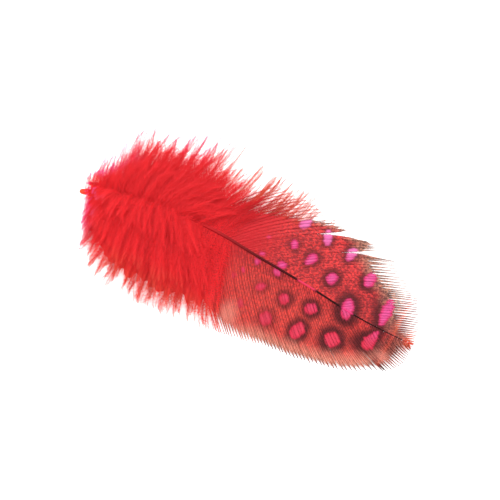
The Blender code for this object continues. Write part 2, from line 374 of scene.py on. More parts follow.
def mix_layers(tree, known, layers):
    """Adds a Mix node for every layer, and returns the colour of the last.

    known holds sockets by name. An amount that isn't among them is a mesh attribute. A colour is a hex
    value or an earlier layer.
    """
    for name, amount, at_none, at_full in layers:
        if amount not in known:
            known[amount] = add_node(tree, "ShaderNodeAttribute", output="Fac", attribute_name=amount)
        under, over = [linear(end) if end.startswith("#") else known[end] for end in (at_none, at_full)]
        known[name] = add_node(
            tree, "ShaderNodeMix", {0: known[amount], 6: under, 7: over}, data_type="RGBA"
        )
    return known[name]


print(len(WEB_LAYERS), "layers of colour in the web")

# %% [markdown]
# ## The material of the web
# Barbs are dyed keratin: dense and smooth, with an IOR of about 1.54, but so thin and so full of dye
# that colour drowns most of the gloss. The layers follow the feather's own: plain dyed red near the
# down, worm-like flecks of melanin further out, dark rings, pale free ends and last the clear spots.
# The flecks come from a noise texture on Object coordinates, which are places in the feather's frame.
# The rami are darker than the barbules, because they are thicker, so they multiply what lies under
# them. Only where they cross a clear spot are they light too. The reds and flecks of the near vane
# are painted lighter than the far vane's, as painted light for the softbox light that it gets less of.

# %% Web material
FLECK_SIZE = 0.45  # mm, a dark and a light fleck together
FLECK_EDGE = (0.42, 0.60)  # values of the noise between which a fleck turns from dark to light
KERATIN_IOR = 1.54
RIDGE_TINT = "#7C4A4C"


def web_material():
    finish = {"Roughness": 0.55, "IOR": KERATIN_IOR, "Specular IOR Level": 0.08}
    material, surface = new_material("dyed_barb_keratin", finish)
    tree = material.node_tree
    place = add_node(tree, "ShaderNodeTexCoord", output="Object")
    worms = {"Vector": place, "Scale": 1 / (FLECK_SIZE * MM), "Detail": 1.0, "Distortion": 0.6}
    noise = add_node(tree, "ShaderNodeTexNoise", worms)
    step = {"Value": noise, "From Min": FLECK_EDGE[0], "From Max": FLECK_EDGE[1]}
    flecks = add_node(tree, "ShaderNodeMapRange", step)
    spotted = mix_layers(tree, {"noise": noise, "flecks": flecks}, WEB_LAYERS)
    ridge = add_node(tree, "ShaderNodeAttribute", output="Fac", attribute_name="ridge")
    tint = {0: ridge, 6: spotted, 7: linear(RIDGE_TINT)}
    coloured = add_node(tree, "ShaderNodeMix", tint, data_type="RGBA", blend_type="MULTIPLY")
    tree.links.new(coloured, surface["Base Color"])
    return material


barb_keratin = web_material()
print("web material:", len(barb_keratin.node_tree.nodes), "nodes")

# %% [markdown]
# ## The material of the down
# Down barbules are far finer than the eye can part, so down looks matt and glows: light goes from hair
# to hair and comes back as a purer red. The tips hold less dye. Those on the far side fade to pink, and
# those along the near edge to a pale tan. The wisps hold a little less dye than the rest.

# %% Down material


def down_material(name, shaded, scarlet):
    finish = {"Roughness": 0.8, "IOR": KERATIN_IOR, "Specular IOR Level": 0.05}
    material, surface = new_material(name, finish)
    layers = (
        ("scarlet", "shade", shaded, scarlet),
        ("pale", "pink", "#DC6E50", "#F26CB4"),
        ("dyed", "dye", "pale", "scarlet"),
    )
    material.node_tree.links.new(mix_layers(material.node_tree, {}, layers), surface["Base Color"])
    return material


down_keratin = down_material("dyed_down", "#D22A30", "#FF3A40")
wisp_keratin = down_material("dyed_wisps", "#DC5442", "#F4604E")
print("down material:", len(down_keratin.node_tree.nodes), "nodes")

# %% [markdown]
# ## One geometry tree for every barb
# A barb is a ramus, which is a fine tapered rod, with two rows of barbules. The same tree makes both
# kinds: in the web the barbules are short and hook into the next barb, in down they are long and loose.
# It takes plain lines whose points carry a thickness, a reach for the barbules and the side that faces
# up. Instance on Points will set a three-sided spike at every step along a line, so the first thing is
# where each spike points: forwards by its lean, out to the left or the right in turn, and rolled a
# little above or below the web.

# %% The direction of a barbule
MATHS, VECTORS = "ShaderNodeMath", "ShaderNodeVectorMath"


def turned_towards(tree, first, second, angle):
    """The direction that lies at an angle from the first one towards the second."""
    parts = []
    for way, operation in ((first, "COSINE"), (second, "SINE")):
        amount = add_node(tree, MATHS, (angle,), operation=operation)
        parts.append(add_node(tree, VECTORS, {0: way, "Scale": amount}, operation="SCALE"))
    return add_node(tree, VECTORS, parts, operation="ADD")


def barbule_direction(tree, sockets, facing, roll_stray, lean_stray):
    """Where a barbule points: its roll says to which side of the ramus, and its lean how far off it."""
    forwards = add_node(tree, "GeometryNodeInputTangent")
    square = add_node(tree, VECTORS, (facing, forwards), operation="CROSS_PRODUCT")
    sideways = add_node(tree, VECTORS, (square,), operation="NORMALIZE")
    left = add_node(tree, MATHS, (add_node(tree, "GeometryNodeInputIndex"), 2.0), operation="MODULO")
    rise = (roll_stray, sockets["Spread"], sockets["Rise"])
    above = add_node(tree, MATHS, rise, operation="MULTIPLY_ADD")
    side = add_node(tree, MATHS, (left, -2.0, 1.0), operation="MULTIPLY_ADD")
    mirrored = add_node(tree, MATHS, (above, side), operation="MULTIPLY")
    roll = add_node(tree, MATHS, (left, np.pi, mirrored), operation="MULTIPLY_ADD")
    out = turned_towards(tree, sideways, facing, roll)
    steady = add_node(tree, "GeometryNodeInputNamedAttribute", {"Name": "lean"}, data_type="FLOAT")
    lean = add_node(tree, MATHS, (lean_stray, sockets["Unruly"], steady), operation="MULTIPLY_ADD")
    return turned_towards(tree, forwards, out, lean)


print("a barbule turns by its lean and its roll")

# %% [markdown]
# ## The whole tree
# Curve to Mesh sweeps the ramus, and in the web a flat blade too, which stands for the feet of the
# barbules, where they overlap like roof tiles. A real barbule is about 0.01 mm thick, too fine to show,
# so the spikes are wider and fewer. The tree leaves a mark on what it makes: core is 1 on a ramus,
# outward grows along a barbule, and station is the place on the barb's own middle. Realize Instances
# turns all the spikes into real faces, because instances are lost when a piece leaves Blender.

# %% The barb tree
SHORTEST = 0.03  # mm, barbules under this length are left out
BLADE_HEIGHT = 0.04  # of half its width
BARE = 1e-6  # metres, where half the width of the blade is less than this there is none
# The tree's inputs, their kinds, and values in metres and radians to start from.
BARB_INPUTS = (
    ("Pitch", "NodeSocketFloat", 0.00005),
    ("Barbule Width", "NodeSocketFloat", 0.00003),
    ("Barbule Thickness", "NodeSocketFloat", 0.00001),
    ("Spread", "NodeSocketFloat", 0.1),
    ("Rise", "NodeSocketFloat", 0.0),
    ("Unruly", "NodeSocketFloat", 0.25),
    ("Ramus Sides", "NodeSocketInt", 4),
    ("Web Step", "NodeSocketFloat", 0.0003),
    ("Seed", "NodeSocketInt", 1),
    ("Keratin", "NodeSocketMaterial", None),
)
STRAYS = ((-1.0, 1.0), (-1.0, 1.0), (0.75, 1.15))  # of a barbule's roll, its lean and its length


def barb_tree():
    tree = bpy.data.node_groups.new("barbs_from_lines", "GeometryNodeTree")
    tree.interface.new_socket("Lines", in_out="INPUT", socket_type="NodeSocketGeometry")
    for name, kind, default in BARB_INPUTS:
        tree.interface.new_socket(name, in_out="INPUT", socket_type=kind).default_value = default
    tree.interface.new_socket("Barbs", in_out="OUTPUT", socket_type="NodeSocketGeometry")
    sockets = add_node(tree, "NodeGroupInput").node.outputs
    thickness, web_width, reach = [
        add_node(tree, "GeometryNodeInputNamedAttribute", {"Name": name}, data_type="FLOAT")
        for name in ("thickness", "web", "reach")
    ]
    facing = add_node(
        tree, "GeometryNodeInputNamedAttribute", {"Name": "facing"}, data_type="FLOAT_VECTOR"
    )
    strays = []
    for number, (least, most) in enumerate(STRAYS):
        seed = add_node(tree, MATHS, (sockets["Seed"], float(number)), operation="ADD")
        limits = {2: least, 3: most, "Seed": seed}
        strays.append(add_node(tree, "FunctionNodeRandomValue", limits, data_type="FLOAT"))

    bare = add_node(tree, "GeometryNodeMeshToCurve", {"Mesh": sockets["Lines"]})
    facing_up = {"Curve": bare, "Normal": facing}
    lines = add_node(tree, "GeometryNodeSetCurveNormal", facing_up, mode="FREE")
    here = add_node(tree, "GeometryNodeInputPosition")
    place = {"Geometry": lines, "Name": "station", "Value": here}
    lines = add_node(tree, "GeometryNodeStoreNamedAttribute", place, data_type="FLOAT_VECTOR")

    coarse = {"Curve": lines, "Length": sockets["Web Step"]}
    spine = add_node(tree, "GeometryNodeResampleCurve", coarse, mode="LENGTH")
    circle = add_node(tree, "GeometryNodeCurvePrimitiveCircle", {"Resolution": sockets["Ramus Sides"]})
    rod = {"Curve": spine, "Profile Curve": circle, "Scale": thickness, "Fill Caps": True}
    ramus = {"Geometry": add_node(tree, "GeometryNodeCurveToMesh", rod), "Name": "core", "Value": 1.0}
    ramus = add_node(tree, "GeometryNodeStoreNamedAttribute", ramus, data_type="FLOAT")

    flat = {"Width": 2 * BLADE_HEIGHT, "Bottom Height": 1.0, "Top Height": 1.0}
    kite = add_node(tree, "GeometryNodeCurvePrimitiveQuadrilateral", flat, mode="KITE")
    unwebbed = add_node(tree, MATHS, (web_width, BARE), operation="LESS_THAN")
    webbed = add_node(tree, "GeometryNodeDeleteGeometry", {0: spine, "Selection": unwebbed})
    blade = {"Curve": webbed, "Profile Curve": kite, "Scale": web_width, "Fill Caps": True}
    web = add_node(tree, "GeometryNodeCurveToMesh", blade)

    fine = {"Curve": lines, "Length": sockets["Pitch"]}
    steps = add_node(tree, "GeometryNodeResampleCurve", fine, mode="LENGTH")
    spike = add_node(tree, "GeometryNodeMeshCone", {"Vertices": 3, "Depth": 1.0})
    height = add_node(tree, "ShaderNodeSeparateXYZ", (here,), output="Z")
    spike = {"Geometry": spike, "Name": "outward", "Value": height}
    spike = add_node(tree, "GeometryNodeStoreNamedAttribute", spike, data_type="FLOAT")
    axes = {
        "Primary Axis": barbule_direction(tree, sockets, facing, strays[0], strays[1]),
        "Secondary Axis": facing,
    }
    turned = add_node(tree, "FunctionNodeAxesToRotation", axes, primary_axis="Z", secondary_axis="Y")
    long = add_node(tree, MATHS, (reach, strays[2]), operation="MULTIPLY")
    size = {"X": sockets["Barbule Width"], "Y": sockets["Barbule Thickness"], "Z": long}
    grown = {
        "Points": steps,
        "Selection": add_node(tree, MATHS, (reach, SHORTEST * MM), operation="GREATER_THAN"),
        "Instance": spike,
        "Rotation": turned,
        "Scale": add_node(tree, "ShaderNodeCombineXYZ", size),
    }
    barbules = add_node(tree, "GeometryNodeInstanceOnPoints", grown)
    barbules = add_node(tree, "GeometryNodeRealizeInstances", (barbules,))
    whole = add_node(tree, "GeometryNodeJoinGeometry")
    for part in (barbules, web, ramus):
        tree.links.new(part, whole.node.inputs[0])
    finished = add_node(tree, "GeometryNodeSetMaterial", {0: whole, "Material": sockets["Keratin"]})
    add_node(tree, "NodeGroupOutput", (finished,))
    return tree


barbs_from_lines = barb_tree()
print("barb tree:", len(barbs_from_lines.nodes), "nodes")

# %% [markdown]
# ## From lines to a piece
# The lines are a mesh of edges, one poly-line for each barb, with their attributes on the points. The
# tree is run as a modifier, its result is read back as a plain mesh, and the modifier is thrown away.

# %% Running the tree


def line_mesh(name, points, attributes):
    """A mesh of poly-lines. points is (barbs, steps, 3) in mm, and so is each attribute without the 3."""
    barbs, steps = points.shape[:2]
    mesh = bpy.data.meshes.new(name)
    first = np.arange(barbs * steps).reshape(barbs, steps)[:, :-1].ravel()
    mesh.from_pydata((points.reshape(-1, 3) * MM).tolist(), np.stack([first, first + 1], 1).tolist(), [])
    for key, values in attributes.items():
        kind, field = ("FLOAT_VECTOR", "vector") if values.ndim == 3 else ("FLOAT", "value")
        layer = mesh.attributes.new(key, kind, "POINT")
        layer.data.foreach_set(field, values.astype(np.float32).ravel())
    return mesh


def grow(name, points, attributes, sizes):
    """Runs the barb tree on the lines, and returns a plain mesh object."""
    lines = bpy.data.objects.new(name + "_lines", line_mesh(name + "_lines", points, attributes))
    bpy.context.scene.collection.objects.link(lines)
    modifier = lines.modifiers.new("barbs", "NODES")
    modifier.node_group = barbs_from_lines
    for item in barbs_from_lines.interface.items_tree:
        if item.name in sizes:
            modifier[item.identifier] = sizes[item.name]
    graph = bpy.context.evaluated_depsgraph_get()
    mesh = bpy.data.meshes.new_from_object(lines.evaluated_get(graph), depsgraph=graph)
    bpy.data.objects.remove(lines)
    mesh.name = name
    piece = bpy.data.objects.new(name, mesh)
    bpy.context.scene.collection.objects.link(piece)
    mesh.shade_smooth()
    print(name, len(points), "barbs,", sum(len(p.vertices) - 2 for p in mesh.polygons), "triangles")
    return piece


print("lines become barbs through the modifier's", len(BARB_INPUTS), "inputs")

# %% [markdown]
# ## Reading and writing a mesh
# A mesh keeps its numbers in attributes, one value for every vertex. NumPy reads and writes a whole
# attribute at once, which is hundreds of times faster than a loop over vertices.

# %% Attributes as arrays


def read(mesh, name):
    """A point attribute as an array, or zeros where the mesh has none."""
    layer = mesh.attributes.get(name)
    if layer is None:
        return np.zeros(len(mesh.vertices))
    size, key = (3, "vector") if layer.data_type == "FLOAT_VECTOR" else (1, "value")
    values = np.zeros(len(mesh.vertices) * size, np.float32)
    layer.data.foreach_get(key, values)
    return values.reshape(-1, 3) if size == 3 else values


def write(mesh, name, values):
    layer = mesh.attributes.get(name) or mesh.attributes.new(name, "FLOAT", "POINT")
    layer.data.foreach_set("value", values.astype(np.float32))


def places_of(mesh):
    """The vertices' places in mm."""
    places = np.zeros(len(mesh.vertices) * 3, np.float32)
    mesh.vertices.foreach_get("co", places)
    return places.reshape(-1, 3) / MM


def move_to(mesh, places):
    mesh.vertices.foreach_set("co", (places * MM).astype(np.float32).ravel())
    mesh.update()


def lay_out(mesh, flat):
    """The piece's own map: (vertices, 2) places on a unit square, written for each face corner."""
    layer = mesh.uv_layers.new(name="OFBake")
    corners = np.zeros(len(mesh.loops), np.int32)
    mesh.loops.foreach_get("vertex_index", corners)
    layer.data.foreach_set("uv", flat[corners].astype(np.float32).ravel())


print("the table's corners:", places_of(table_mesh).round().tolist(), "mm")

# %% [markdown]
# ## The web of the outer half
# Sixty-two barbs leave each side of the shaft, 0.7 mm apart on average: closer together at the down,
# and wider apart at the tip. Each bows towards the tip of the feather and down to the table. Its
# barbules hook into the next barb's, which makes the web. Here and there the hooks have come apart, and
# the web has split: the tips on either side of a split have moved away from it along the margin.

# %% Lines of the web
# In every pair of sizes, 1 stands for the far side of the shaft and -1 for the near side.
BARB_PITCH = 0.70  # mm along the shaft, on average
PITCH_GROWTH = 0.28  # how much closer the barbs are at the down, and how much wider apart at the tip
BARB_STEPS = 34
# How far a barb bows, by the share of the length where it leaves the shaft.
BARB_BOW = {1: ((0.0, 0.08), (1.0, 0.08)), -1: ((0.70, 0.09), (0.80, 0.16), (0.90, 0.28))}
VANE_ARCH = 1.25  # over 1, the web is arched upwards between the shaft and its margin
WEB_FROM, WEB_TO = 0.362, 0.985
LENGTH_STRAY = 0.012  # how unequal neighbouring barbs are, as a share of their length
TIP_STRAY = 0.10  # mm by which a tip strays along the margin
# Splits: the share of the length where one is, how far the tips before and after it move in mm, how
# many shares wide the moved bundle is, and how far out along the barbs the split starts.
FAR_SPLITS = (
    (0.452, -0.5, 0.7, 0.008, 0.66),
    (0.484, -0.7, 2.8, 0.028, 0.57),
    (0.572, -0.8, 2.2, 0.022, 0.57),
)
NEAR_SPLITS = ((0.795, 1.1, 0.0, 0.018, 0.45),)
SPLIT_END = 1.25  # of a barb's length, where a split would be full if the barb went on
SPLIT_GAIN = 1.6  # makes up for the barb that ends before that
SPLIT_LIFT = 0.12  # mm up for each mm that a barb moves aside


def bent(start, middle, end, shares):
    """Points on a curve that sets out towards middle, for every row of start and end."""
    w = shares[..., None]
    return start[:, None] * (1 - w) ** 2 + middle[:, None] * 2 * w * (1 - w) + end[:, None] * w**2


def web_lines(side, shares, rng):
    """(barbs, steps, 3) points of the barbs on one side, in mm, and the spacing before the web splits."""
    tips = smooth(FAR_TIPS if side > 0 else NEAR_TIPS, shares)
    tips[:, :2] += [END_SHIFT, SIDE_SHIFT]
    roots = shaft_points(shares)
    stretch = 1 + rng.uniform(-LENGTH_STRAY, LENGTH_STRAY, len(shares))
    ends = roots + (tips - roots) * stretch[:, None]
    ends[:, 2] = tips[:, 2]
    gap = ends - roots
    bow = np.interp(shares, *np.transpose(BARB_BOW[side]))
    middle = roots + gap * np.column_stack([0.5 - bow, 0.5 + bow, np.zeros(len(bow))])
    w = np.linspace(0, 1, BARB_STEPS)[None].repeat(len(shares), 0)
    points = bent(roots, middle, ends, w)
    points[..., 2] = ends[:, None, 2] + (roots[:, None, 2] - ends[:, None, 2]) * (1 - w**VANE_ARCH)
    spacing = web_spacing(points)
    margin = np.gradient(tips, axis=0)
    margin /= np.linalg.norm(margin, axis=1)[:, None]
    stray = rng.uniform(-TIP_STRAY, TIP_STRAY, len(shares))[:, None] * w**4
    for at, before, after, bundle, start in FAR_SPLITS if side > 0 else NEAR_SPLITS:
        near = np.exp(-np.abs(shares - at) / bundle)
        moved = (np.where(shares < at, before, after) * near)[:, None]
        moved = moved * ramp(start, SPLIT_END, w) * SPLIT_GAIN
        stray = stray + moved
        points[..., 2] += SPLIT_LIFT * np.abs(moved)
    return points + margin[:, None] * stray[..., None], w, spacing


def facing_of(points):
    """The side of each point of a barb that faces up out of the web."""
    out = np.cross(np.gradient(points, axis=1), np.gradient(points, axis=0))
    out *= np.sign(out[..., 2:3])
    return out / np.linalg.norm(out, axis=2)[..., None]


def web_spacing(points):
    """The distance in mm from each barb to the next, square to the barb."""
    along = np.gradient(points, axis=1)
    along /= np.linalg.norm(along, axis=2)[..., None]
    beside = np.gradient(points, axis=0)
    square = beside - along * (beside * along).sum(2)[..., None]
    return np.linalg.norm(square, axis=2)


print(int((WEB_TO - WEB_FROM) * LENGTH / BARB_PITCH), "barbs on each side")

# %% [markdown]
# ## What each barb of the web carries
# Next come the numbers that the tree reads. The barbules lean forwards by about 43 degrees and reach as
# far as the next ramus, and the blade that stands for their feet is a little wider than half the gap, so
# that neighbours overlap. The web stops short of the margin, where a few millimetres of each ramus stay
# free and make the fringe. The first barbs are loose: their web stops early, and from there on they
# carry soft barbules and no blade, like those of the down.

# %% Sizes of the web's barbs
RAMUS_RADIUS = {1: 0.060, -1: 0.084}  # mm at the shaft
RAMUS_TAPER = {1: 0.50, -1: 0.25}  # how much of it is gone at the tip
WEB_LEAN = 0.75  # radians
# How many mm of each barb are past the last hook, by the share of the length where it leaves the shaft.
FREE_LENGTH = {
    1: (
        (0.36, 13.0),
        (0.43, 10.5),
        (0.45, 6.5),
        (0.464, 4.0),
        (0.474, 2.4),
        (0.54, 2.8),
        (0.57, 4.4),
        (0.62, 6.6),
        (0.74, 5.6),
        (0.85, 4.7),
        (1.0, 3.8),
    ),
    -1: ((0.36, 5.0), (0.42, 2.5), (0.50, 1.5), (0.78, 1.6), (0.84, 2.1), (0.9, 2.5), (1.0, 2.8)),
}
FREE_STRAY = 0.15  # mm by which neighbours differ in it
MOST_FREE = 0.7  # of a barb's length
UNHOOKED = (0.9, -0.1)  # mm past the last hook, where the web has gone and where it is whole
BARBULE_REACH = 0.95  # of the way to the next ramus
FREE_REACH = {1: 0.40, -1: 0.80}  # mm, of a free end's barbules, which shorten to next to none at its tip
FREE_BLADE = {1: 0.22, -1: 0.18}  # half the width of a free end where it leaves the web
THIN_OUT = 0.72  # and how much of it is gone at the tip
LOOSE_BEFORE = {1: (0.465, 0.44), -1: (0.39, 0.37)}  # shares of the length where the barbs turn to down
LOOSE_PAST = (-0.5, 1.0)  # mm past the last hook, where a loose barb's soft barbules begin and are full
LOOSE_REACH = 0.40  # mm by which they are longer than other free ends'
BARBULE_WIDTH, BARBULE_THICKNESS = 0.055, 0.014
BARBULE_PITCH = 0.048
WEB_STEP = 0.27
WIDEST_GAP = 0.85  # mm that the web can span
WEB_OVERLAP = 0.60  # of the spacing, from a ramus to the edge of its blade
GOLDEN = 0.618  # steps of this share spread the barbs' own numbers evenly between 0 and 1


def web_attributes(side, points, w, spacing, shares, rng):
    count = len(points)
    length = np.linalg.norm(np.diff(points, axis=1), axis=2).sum(1)
    free = np.interp(shares, *np.transpose(FREE_LENGTH[side]))
    free = np.clip(free + rng.uniform(-FREE_STRAY, FREE_STRAY, count), 0, MOST_FREE * length)
    past = w * length[:, None] - (length - free)[:, None]
    hooked = ramp(*UNHOOKED, past)
    spacing = np.minimum(spacing, WIDEST_GAP)
    across = spacing / np.sin(WEB_LEAN)
    reach = across * BARBULE_REACH * hooked + FREE_REACH[side] * (1.05 - w) * (1 - hooked)
    reach = np.minimum(reach, across)
    reach[:, 0] = 0
    loose = (ramp(*LOOSE_BEFORE[side], shares)[:, None] * ramp(*LOOSE_PAST, past)).clip(0, 1)
    reach += loose * LOOSE_REACH * (1 - 0.6 * w)
    free_blade = FREE_BLADE[side] * (1 - THIN_OUT * np.clip(past / free[:, None], 0, 1))
    return {
        "thickness": RAMUS_RADIUS[side] * (1 - RAMUS_TAPER[side] * w**1.5) * MM,
        "web": np.maximum(spacing * WEB_OVERLAP * hooked, free_blade * (1 - loose)) * MM,
        "loose": loose,
        "reach": reach * MM,
        "facing": facing_of(points),
        "lean": np.full(w.shape, WEB_LEAN),
        "strand": ((np.arange(count) * GOLDEN) % 1)[:, None].repeat(BARB_STEPS, 1),
        "past": past,
    }


near_tip = {side: FREE_LENGTH[side][-1][1] for side in (1, -1)}
print("free ends near the tip:", near_tip[1], "mm on the far side,", near_tip[-1], "on the near")

# %% [markdown]
# ## Painting a vane
# The pigment is worked out for every vertex. Each attribute that is written here leads one or more
# layers of the web's material, so the two lists belong together. The free ends lose their pigment, the
# near margin is worn pale in three places, and the spots towards the far margin turn to lilac.

# %% Pigment of a vane
BOLDEST = {1: 20.0, -1: 19.0}  # mm along, where the rings are darkest from
MOTTLED_FROM = {1: (-1.0, 9.0), -1: (-5.0, 4.0)}  # mm along, where flecks begin and are full
FLECKED = {1: 1.0, -1: 0.85}  # how strong they are
RIDGE = {1: 0.45, -1: 0.84}  # how much darker a ramus is than the web
RIDGE_RISE = {1: 0.0, -1: 0.16}  # and how much darker still where it is free
FREE_FROM = {1: -2.6, -1: -3.4}  # mm past the last hook, where the colour of the free ends begins
FREE_FULL = 0.9  # and where it is full
FRINGE = {1: 0.90, -1: 0.85}  # how strong it is
BLEACHED = (1.2, 4.4)  # mm past the last hook, where the far ends begin to go pale and are palest
# The far side's colours are partly its own hues and partly painted light: the near side's reds and flecks
# are painted lighter.
FAR_SIDE = (-8.0, -1.5)  # mm across, where the far side's colours begin and are full
# Worn places: along, across and half sizes in mm.
WASHED = ((31.4, -7.9, 1.8, 1.2), (2.8, -14.2, 2.0, 2.8), (7.2, -15.8, 4.4, 1.3))
WASHED_EDGE = (1.5, 0.2)  # in half sizes, where the wear has gone and where it is full
WASHED_OUT = 0.75
TIP_ENDS = ((32.6, 33.8), (1.0, -2.0))  # mm along and across, where the tip's ends begin to clear
THIN_BAR, THIN_BAR_FROM = 0.45, (31.4, 32.4)  # how much lighter the bar's web is past its clear stripe
LILAC, LILAC_FROM = 0.55, (4.5, 8.5)  # mm across, where it begins and is full
# Where these begin and are full, in mm along. The first are the far side's colours on the tip.
TIP_COLOURS_FROM = (28.8, 30.2)
FRINGED_FROM = (2.0, 10.0)
BLEACHED_FROM = (8.0, 16.0)
RIDGED_FROM = (-6.0, 3.0)


def paint_web(piece, side):
    mesh = piece.data
    core, strand, past, loose = [read(mesh, key) for key in ("core", "strand", "past", "loose")]
    stations = read(mesh, "station") / MM
    x, y = stations[:, 0], stations[:, 1]
    spot, middle, ring, bar = pigment((stations + places_of(mesh)) / 2, strand, BOLDEST[side])
    free = ramp(FREE_FROM[side], FREE_FULL, past)
    # far leads the far vane's own hues, and painted light: the near vane's reds and flecks are painted
    # lighter
    far = ramp(*FAR_SIDE, y)
    washed = np.zeros(len(x))
    for along, across, half_long, half_wide in WASHED:
        out = np.hypot((x - along) / half_long, (y - across) / half_wide)
        washed = np.maximum(washed, ramp(*WASHED_EDGE, out))
    ends = ramp(*TIP_ENDS[0], x) * ramp(*TIP_ENDS[1], y)
    bar *= (1 - ends) * (1 - THIN_BAR * ramp(*THIN_BAR_FROM, x) * (1 - core))
    stripe = np.exp(-(((x - TIP_STRIPE[0]) / TIP_STRIPE[1]) ** 2))
    melanin = ramp(*MOTTLED_FROM[side], x) * FLECKED[side]
    ridge = ramp(*RIDGED_FROM, x) * (RIDGE[side] + RIDGE_RISE[side] * free)
    amounts = {
        "spot": spot,
        "middle": middle,
        "ring": np.maximum(ring * (1 - 0.6 * free), bar),
        "bar": bar,
        "melanin": melanin * (1 - 0.7 * loose) * (1 - 0.5 * free),
        "far": np.maximum(far, 0.8 * ramp(*TIP_COLOURS_FROM, x)),
        "tip": np.maximum(ends, 0.8 * stripe),
        "fringe": free * ramp(*FRINGED_FROM, x) * FRINGE[side] * (1 - bar),
        "faded": ramp(*BLEACHED, past) * far * ramp(*BLEACHED_FROM, x),
        "washed": washed * WASHED_OUT,
        "lilac": LILAC * ramp(*LILAC_FROM, y),
        "ridge": core * (1 - 0.8 * spot) * (1 - 0.5 * washed) * (1 - loose) * ridge,
    }
    for name, values in amounts.items():
        write(mesh, name, values)


print("worn places:", len(WASHED))

# %% [markdown]
# ## Growing the two vanes
# Each vane also gets a flat map of its own, for whoever wants to bake its colours to an image: the vane
# as seen from above, with the rami in the upper half of the map and the web in the lower half.

# %% The far and the near vane
MAP_LEAN = (0.21, -0.17)  # how far a mm of height moves a place on the map, in mm along and across
MAP_EDGE = 0.01
ROOT_STRAY = 0.0010  # shares of the length by which a barb's place on the shaft strays


def plan_map(mesh):
    """Seen from above, but leaning a little, so that no face is edge on."""
    places = places_of(mesh)
    flat = places[:, :2] + places[:, 2:] * MAP_LEAN
    low, high = flat.min(0), flat.max(0)
    flat = (flat - low) / (high - low) * [1 - 2 * MAP_EDGE, 0.5 - 2 * MAP_EDGE] + MAP_EDGE
    flat[:, 1] += 0.5 * (read(mesh, "core") > 0.5)
    lay_out(mesh, flat)


def make_vane(name, side, seed):
    rng = np.random.default_rng(seed)
    count = int((WEB_TO - WEB_FROM) * LENGTH / BARB_PITCH)
    way = np.linspace(0, 1, count)
    way += PITCH_GROWTH * (way**2 - way)
    shares = WEB_FROM + (WEB_TO - WEB_FROM) * way + rng.uniform(-ROOT_STRAY, ROOT_STRAY, count)
    points, w, spacing = web_lines(side, shares, rng)
    sizes = {
        "Pitch": BARBULE_PITCH * MM,
        "Barbule Width": BARBULE_WIDTH * MM,
        "Barbule Thickness": BARBULE_THICKNESS * MM,
        "Spread": 0.12,
        "Rise": 0.0,
        "Unruly": 0.25,
        "Ramus Sides": 4,
        "Web Step": WEB_STEP * MM,
        "Seed": seed,
        "Keratin": barb_keratin,
    }
    piece = grow(name, points, web_attributes(side, points, w, spacing, shares, rng), sizes)
    paint_web(piece, side)
    plan_map(piece.data)
    return piece


vane_far = make_vane("vane_far", 1, 11)
vane_near = make_vane("vane_near", -1, 12)

# %% [markdown]
# ## The down of the lower half
# Down barbs have the same parts, but their barbules are long, thin and unhooked, so nothing holds the
# barbs in a sheet. They cling together in locks, which end in soft points. The locks grow in layers:
# the lowest lies on the table, and the highest rises over the shaft and hides it.

# %% Lines of the down
DOWN_FROM = 0.030  # share of the length where the first down barb grows
DOWN_STEPS = 14
DOWN_SWEEP = 0.08  # how far back a barb sets out before it turns to its tip, as a share of its span
INNER = 0.95  # layers with a reach over this have locks right up to both ends of the outline
DRAWN_FROM = 0.60  # share of a barb from which it is drawn to the tip of its lock
LOCK_STRAY = 0.012  # share by which the tip of a lock strays along the outline
LOCK_LENGTHS = (-0.45, 0.25)  # by how much of their layer's unevenness the locks differ in length
TIP_HEIGHTS = (-0.3, 0.6)  # mm by which barbs end under or over their layer
TIPS_STRAY = 0.4  # of what the middle of a barb does
CURL = 0.5  # mm
STRAY_UP, CURL_UP = 0.35, 0.4  # how much barbs stray and curl up and down, as a share of sideways
# For each layer: the share where it ends, locks on a side, barbs, reach, height of the tips, bow, how far
# past the shaft a barb starts, how far its tip is drawn to its lock's, how uneven the lengths are, and
# how much it strays.
LOW_LAYERS = {
    1: (
        (0.44, 19, 120, 0.98, 0.90, -0.50, 0.0, 0.70, 0.30, 0.05),
        (0.42, 17, 104, 1.06, 5.60, -0.20, 0.0, 0.80, 0.40, 0.07),
    ),
    -1: (
        (0.44, 23, 118, 1.08, 0.40, -0.50, 0.0, 0.80, 0.30, 0.05),
        (0.42, 17, 98, 1.04, 1.00, -0.10, 0.0, 0.75, 0.28, 0.05),
    ),
}
HIGH_LAYERS = {
    1: (
        (0.455, 13, 96, 0.90, 4.20, 0.10, -0.2, 0.40, 0.28, 0.07),
        (0.365, 9, 70, 0.70, 5.20, 0.42, 0.6, 0.10, 0.25, 0.06),
        (0.32, 7, 54, 0.46, 7.20, 0.40, 1.2, 0.00, 0.30, 0.08),
    ),
    -1: (
        (0.465, 15, 104, 0.93, 2.20, 0.20, -0.2, 0.12, 0.16, 0.04),
        (0.365, 9, 76, 0.80, 4.40, 0.42, 0.6, 0.05, 0.20, 0.045),
        (0.32, 7, 54, 0.50, 7.00, 0.40, 1.2, 0.00, 0.30, 0.06),
    ),
}


